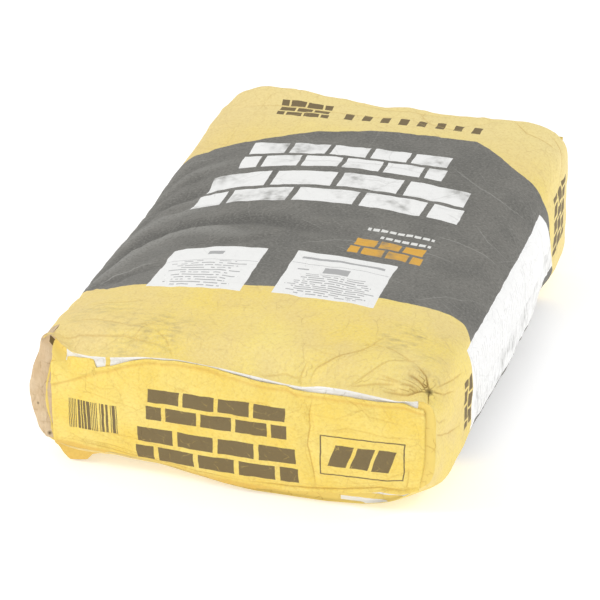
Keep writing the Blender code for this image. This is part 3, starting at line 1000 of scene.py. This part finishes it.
def printed_sack_paper():
    """Two-ply sack paper, printed yellow and charcoal: matt, its ink broken along creases and dusty."""
    material, tree, shader = new_material("printed_sack_paper", 0.74)
    place, flat = sheet_place(tree)
    parts = node(tree, "SeparateXYZ", {0: place})
    creased, lightly, cracks, crepe, pits = handling_marks(
        tree, flat, (1.1, 0.9), ((30, 0.9), (13, 0.7), (6, 0.6))
    )
    broken = marks_together(tree, [creased, lightly])
    # Painted light and shade on the wide folds: the charcoal is painted lighter on their ridges, partly as
    # ink rubbed pale, and darker in their valleys as painted shade
    height = node(tree, "Attribute", attribute_name="fold_height", attribute_type="GEOMETRY")
    ridge = node(tree, "MapRange", {"Value": height.outputs["Fac"], "From Max": 0.8})
    painted_valley_shade = node(
        tree, "MapRange",
        {"Value": height.outputs["Fac"], "From Min": -1.0, "From Max": 0.0, "To Min": 1.0, "To Max": 0.0},
    )
    fine = cloud(tree, flat, 7, detail=5.0, low=0.30, high=0.75)
    patches = cloud(tree, flat, 40, detail=5.0, low=0.38, high=0.62)
    wide = cloud(tree, flat, 110, detail=2.0)
    far = node(tree, "MapRange", {"Value": parts.outputs[1], "From Min": 0.13, "From Max": 0.21})
    left = node(
        tree, "MapRange",
        {"Value": parts.outputs[0], "From Min": -0.17, "From Max": -0.07, "To Min": 1.0, "To Max": 0.0},
    )

    # Dust and rubbing make the yellow paler on top, most at the closed end and on the left
    yellow = coated(tree, colour("#f6dc78"), [
        ("#f9e58f", 0.8, wide),
        ("#ead29a", 0.45, patches),
        ("#f5e2a2", 0.8, far),
        ("#ecd196", 0.5, left),
        ("#fbeaa8", 0.35, crepe),
        ("#dcc07c", 0.30, pits),
        ("#cb9c4c", 0.42, creased),
        ("#cda964", 0.38, lightly),
        ("#d6b87c", 0.30, cracks[0]),
        ("#d9bc82", 0.22, cracks[1]),
        ("#dcc088", 0.22, cracks[2]),
    ])
    charcoal = coated(tree, colour("#72716c"), [
        ("#83817b", 0.7, patches),
        ("#8b8984", 0.4, left),
        ("#aaa9a4", 0.50, ridge),
        # painted highlight on the ridges, with rubbed ink, and painted shade in the valleys
        ("#5a5955", 0.70, painted_valley_shade),
        ("#9a9892", 0.45, crepe),
        ("#5c5b57", 0.40, pits),
        ("#c2c1bb", 0.60, creased),
        ("#b0afa9", 0.50, lightly),
        ("#9d9c96", 0.30, cracks[0]),
        ("#9d9c96", 0.22, cracks[1]),
        ("#9a9892", 0.22, cracks[2]),
    ])
    band, side_panel, folded = sack_print(tree, place)
    base = coated(tree, yellow, [(charcoal, 1.0, band)])

    rubbed = ink_left(tree, 0.9, fine, cloud(tree, flat, 55, detail=6.0, low=0.50, high=0.66))
    unbroken = ink_left(tree, 0.45, broken)
    large_blocks = bonds(tree, place, (
        ((-107, 98), (82, 149), (37.8, 25.5), 4.5),
        ((-129, 25), (115, 93), (61.0, 34.0), 6.0),
    ))
    small_blocks = bonds(tree, place, (
        ((47, -15), (106, -9), (7.4, 6.0), 1.6),
        ((62, -28), (106, -22), (7.4, 6.0), 1.6),
    ))
    amber_blocks = bond(tree, place, (42, -62), (106, -30), (21.3, 16.0), 3.2)
    white_panels = rectangles(tree, place, (((-107, -149), (-23, -73)), ((3, -146), (90, -71))))
    panel_lines = marks_together(tree, [
        fine_lines(tree, place, (-100, -146), (-30, -100), 4.4, 1.5, 11),
        fine_lines(tree, place, (7, -143), (87, -108), 3.3, 1.4, 31),
        rectangles(tree, place, (
            ((-106, -98.6), (-24, -98.0)),
            ((-72, -88), (-58, -82)),
            ((4, -91.5), (89, -90.9)),
            ((10, -83), (82, -79.5)),
            ((34, -105), (56, -95)),
            ((12, -103), (22, -101)),
        )),
    ])
    dark_blocks = marks_together(tree, [
        bonds(tree, place, (
            ((-101, 202), (-53, 228), (16.0, 8.6), 2.0),
            ((-43, 200), (93, 222), (17.0, 22.0), 9.0, 0.0),
        )),
        bonds(tree, folded, (
            ((186, 162), (242, 220), (14.0, 19.3), 3.0),
            ((196, -172), (240, -150), (14.6, 11.0), 2.4),
        )),
    ])
    side_lines = fine_lines(tree, folded, (184, -140), (246, 60), 5.2, 1.3, 57)
    scuffed = cloud(tree, flat, 5, detail=9.0, stretch=(2.4, 0.8, 1), low=0.42, high=0.66)
    ragged = cloud(tree, flat, 22, detail=6.0, low=0.38, high=0.62)
    base = coated(tree, base, [
        ("#f6f6f4", 1.0, large_blocks, rubbed, unbroken),
        ("#ecece8", 1.0, small_blocks),
        ("#e5b151", 1.0, amber_blocks, rubbed),
        ("#f5f5f3", 1.0, white_panels),
        ("#77777a", 0.62, panel_lines),
        ("#cfceca", 0.50, white_panels, broken),
        ("#fbfbfa", 1.0, side_panel),
        ("#cfcfcb", 0.55, side_panel, broken),
        ("#c9c8c4", 0.35, side_panel, cracks[1]),
        ("#9a9996", 0.24, side_lines),
        ("#8f8e8a", 0.55, rectangle(tree, folded, (222, -146), (250, 190)), scuffed, ragged),
        ("#6e5f49", 0.92, dark_blocks, unbroken),
    ])

    # Dirt from handling: grey-brown smudges; and painted shade deep in the pinched corner, amber along its
    # creases and black-brown in its notch
    smudges = ((136, -172, 30, 0.5), (149, -213, 24, 0.6), (-55, -208, 34, 0.4), (-77, -220, 40, 0.4),
               (123, -186, 26, 0.5), (-130, -196, 48, 0.35), (-100, -226, 40, 0.35),
               (160, -207, 20, 0.7), (236, -150, 30, 0.3), (250, -100, 26, 0.3), (250, -40, 26, 0.3))
    dirt = [
        ("#8c8272", strength, spot(tree, place, (u, v), radius), scuffed, ragged)
        for u, v, radius, strength in smudges
    ]
    base = coated(tree, base, dirt + [
        # painted shade in the pinched corner's creases and notch
        ("#a87a2e", 0.8, spot(tree, place, (164, -228), 24), creased),
        ("#4a3718", 1.0, spot(tree, place, (171, -226), 12), creased),
        ("#33240f", 1.0, spot(tree, place, (171, -226), 4)),
    ])
    dents = [(creased, 1.6), (lightly, 0.9), (cracks[0], 0.9), (cracks[1], 0.6), (cracks[2], 0.5)]
    paper_finish(tree, shader, base, flat, dents, 0.5)
    return material


def folded_flap_paper():
    """The unprinted inner side of the sack paper, folded over the ends, with a little yellow print."""
    material, tree, shader = new_material("unprinted_flap_paper", 0.8)
    place, flat = sheet_place(tree)
    patches = cloud(tree, flat, 30, detail=4.0)
    cracks = crackle(tree, flat, 12, 0.8)
    printed = rectangles(tree, place, (
        ((-190, -10), (-140, 140)),
        ((-106, 60), (-102, 120)),
        ((149, -10), (190, 130)),
        ((-175, -10), (190, 14)),
    ))
    base = coated(tree, colour("#f8f7f4"), [
        ("#ebe7de", 0.8, patches),
        ("#c9bfa8", 0.4, cracks),
        ("#f3d778", 1.0, printed),
        ("#c99f4a", 0.5, printed, cracks),
        ("#f6f4ee", 1.0, rectangle(tree, place, (88, 4), (131, 8.5))),
        ("#8a6d3c", 0.8, spot(tree, place, (124, 2), 14), patches),
    ])
    paper_finish(tree, shader, base, flat, [(cracks, 1.2)], 0.4)
    return material


def printed_leaf_paper(name, with_print):
    """The cover leaf's paper: one yellow ply, brighter than the top because no dust lies on it."""
    material, tree, shader = new_material(name, 0.72)
    place, flat = sheet_place(tree)
    creased, lightly, cracks, crepe, pits = handling_marks(
        tree, flat, (0.9, 0.8), ((26, 0.8), (12, 0.7), (5.5, 0.6))
    )
    broken = marks_together(tree, [creased, lightly])
    painted_shade = node(tree, "Attribute", attribute_name="painted_shade", attribute_type="GEOMETRY")
    patches = cloud(tree, flat, 34, detail=5.0)
    fine = cloud(tree, flat, 6, detail=5.0, low=0.42, high=0.75)
    base = coated(tree, colour("#f6d768"), [
        ("#f8e38a", 0.7, patches),
        ("#c48c30", 0.55, creased),
        ("#cf9d40", 0.42, lightly),
        ("#fbe796", 0.30, crepe),
        ("#e0bc5c", 0.30, pits),
        ("#dcb258", 0.28, cracks[0]),
        ("#dcb258", 0.22, cracks[1]),
        ("#dfb75f", 0.22, cracks[2]),
        # painted shade under the foot's crease and painted shadow below the rolled lip
        ("#dcae55", 0.55, painted_shade.outputs["Fac"]),
    ])
    if with_print:
        # The blocks in the outlined box lean to the right
        parts = node(tree, "SeparateXYZ", {0: place})
        leaned = node(tree, "Math", {0: parts.outputs[1], 1: -0.35, 2: parts.outputs[0]},
                      operation="MULTIPLY_ADD")
        slanted = node(tree, "CombineXYZ", {0: leaned, 1: parts.outputs[1]})
        dark = marks_together(tree, [
            bars(tree, place, (-138, 37), (-95, 63), 0.72, 5),
            bonds(tree, place, (
                ((-70.5, 54), (46.5, 84), (29.2, 15.0), 3.4),
                ((-80.5, 15), (55.5, 50), (34.0, 17.5), 4.0),
            )),
            outline(tree, place, (73, 29), (141, 64), 1.1),
            rectangles(tree, slanted, (((66, 37), (81, 56)), ((84, 37), (98, 56)), ((101, 37), (115, 56)))),
        ])
        kept = ink_left(tree, 0.55, marks_together(tree, [fine, broken]), cracks[1])
        base = coated(tree, base, [("#72634a", 0.94, dark, kept)])
    dents = [(creased, 1.6), (lightly, 1.0), (cracks[0], 0.9), (cracks[1], 0.6), (cracks[2], 0.5)]
    paper_finish(tree, shader, base, flat, dents, 0.5)
    return material


def kraft_paper():
    """Unbleached kraft paper: dull brown, with darker and lighter fibres, a little dirt, and a painted shadow
    in the slit under the top's edge.
    """
    material, tree, shader = new_material("kraft_paper", 0.85)
    place, flat = sheet_place(tree)
    fibres = cloud(tree, flat, 3, detail=5.0, stretch=(0.5, 2.0, 1))
    patches = cloud(tree, flat, 22, detail=4.0)
    cracks = crackle(tree, flat, 11, 0.8)
    parts = node(tree, "SeparateXYZ", {0: place})
    diagonal = node(tree, "Math", {0: parts.outputs[0], 1: parts.outputs[1]}, operation="ADD")
    slanted = node(tree, "CombineXYZ", {0: diagonal, 1: parts.outputs[0]})
    base = coated(tree, colour("#d4b892"), [
        ("#e3cdac", 1.0, patches),
        ("#b89a72", 0.30, fibres),
        ("#a88a60", 0.45, cracks),
        ("#4e3f2a", 0.9, spot(tree, place, (-164, 53), 1.6)),
        ("#4e3f2a", 0.9, spot(tree, place, (-165, 30), 1.4)),
        ("#3c2f1e", 1.0, spot(tree, place, (-155, 27), 2.6)),
        # painted shadow in the slit between the sleeve and the edge of the top's fold
        ("#5c4a22", 0.9, rectangle(tree, slanted, (-46, -154), (-41, -139))),
    ])
    paper_finish(tree, shader, base, flat, [(cracks, 1.2)], 0.4)
    return material


# The studio

FLOOR_SIZE = 8.0
FLOOR_PLACE = (0, 2, -0.0002)      # a hair under the sack's underside
FLOOR_GLOW = 0.32
SKY_STRENGTH = 0.66
LIGHT_AIM = Vector((0, 0, 0.06))
# Name, place, size and power
LAMPS = (
    ("key", (-1.4, -0.9, 1.4), 0.8, 14),
    ("front_fill", (0.4, -2.1, 0.7), 1.0, 3),
    ("side_fill", (1.8, 0.8, 1.3), 1.0, 12),
)


def pale_floor():
    """Matt floor paint that glows a little, so that it stays near white under the sack."""
    mesh = bmesh.new()
    bmesh.ops.create_grid(mesh, x_segments=1, y_segments=1, size=FLOOR_SIZE)
    bmesh.ops.translate(mesh, verts=mesh.verts[:], vec=FLOOR_PLACE)
    data = written(mesh, bpy.data.meshes.new("floor"))
    material, _, shader = new_material("pale_floor_paint", 0.9)
    shader.inputs["Base Color"].default_value = colour("#f6f6f6")
    shader.inputs["Specular IOR Level"].default_value = 0.0
    shader.inputs["Emission Color"].default_value = colour("#ffffff")
    shader.inputs["Emission Strength"].default_value = FLOOR_GLOW
    data.materials.append(material)
    floor = bpy.data.objects.new("floor", data)
    bpy.context.scene.collection.objects.link(floor)


def soft_light(name, place, size, energy):
    """A round soft box that points at the sack."""
    lamp = bpy.data.lights.new(name, "AREA")
    lamp.shape = "DISK"
    lamp.size = size
    lamp.energy = energy
    item = bpy.data.objects.new(name, lamp)
    item.location = place
    item.rotation_euler = (LIGHT_AIM - Vector(place)).to_track_quat("-Z", "Y").to_euler()
    bpy.context.scene.collection.objects.link(item)


def studio():
    world = bpy.data.worlds.new("studio")
    bpy.context.scene.world = world
    world.use_nodes = True
    world.node_tree.nodes["Background"].inputs["Color"].default_value = (1, 1, 1, 1)
    world.node_tree.nodes["Background"].inputs["Strength"].default_value = SKY_STRENGTH
    for lamp in LAMPS:
        soft_light(*lamp)
    bpy.context.scene.view_settings.view_transform = "Standard"


# The camera stands at the photograph's place: degrees, and metres from its target
CAMERA_TURN = 16.95
CAMERA_RISE = 25.94
CAMERA_DISTANCE = 2.5985
CAMERA_TARGET = Vector((MIDDLE_X, 0.0, 0.0528))
CAMERA_ASIDE = (-0.0167, 0.0033)
FOCAL_LENGTH_MM = 182.2


def photo_camera():
    turn, rise = math.radians(CAMERA_TURN), math.radians(CAMERA_RISE)
    back = Vector((math.sin(turn) * math.cos(rise), -math.cos(turn) * math.cos(rise), math.sin(rise)))
    right = Vector((math.cos(turn), math.sin(turn), 0.0))
    up = back.cross(right)
    lens = bpy.data.cameras.new("camera")
    lens.sensor_width = 36.0
    lens.lens = FOCAL_LENGTH_MM
    camera = bpy.data.objects.new("camera", lens)
    aside = right * CAMERA_ASIDE[0] + up * CAMERA_ASIDE[1]
    camera.location = CAMERA_TARGET + aside + back * CAMERA_DISTANCE
    camera.rotation_euler = Matrix((right, up, back)).transposed().to_euler()
    bpy.context.scene.collection.objects.link(camera)
    bpy.context.scene.camera = camera


photo_camera()
studio()
pale_floor()
filled_sack(printed_sack_paper(), folded_flap_paper())
valve_end_leaf(printed_leaf_paper("printed_leaf_paper", with_print=True))
closed_end_leaf(printed_leaf_paper("plain_leaf_paper", with_print=False))
kraft_sleeve(kraft_paper())
